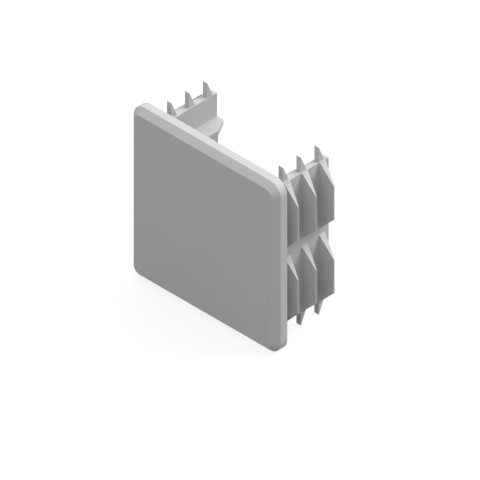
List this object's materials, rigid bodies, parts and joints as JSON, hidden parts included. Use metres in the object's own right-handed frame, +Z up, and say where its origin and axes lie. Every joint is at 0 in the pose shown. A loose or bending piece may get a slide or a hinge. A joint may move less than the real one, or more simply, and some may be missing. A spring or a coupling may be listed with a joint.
{
  "type": "profile end cap",
  "caption": "Square press-in end cap for an open channel: bevelled cover plate with drafted, barbed legs that grip the channel's inside walls.",
  "frame": {"origin": "middle of the cover plate's back face, where the plate seats on the channel's cut end", "axes": "+Y along the legs, into the channel; +Z up; +X across the cap, from one leg to the other"},
  "size_m": [0.041, 0.0191, 0.041],
  "materials": {
    "grey_plastic": "fine matte moulded"
  },
  "bodies": {
    "root": {"end_cap": "grey_plastic"}
  },
  "joints": []
}
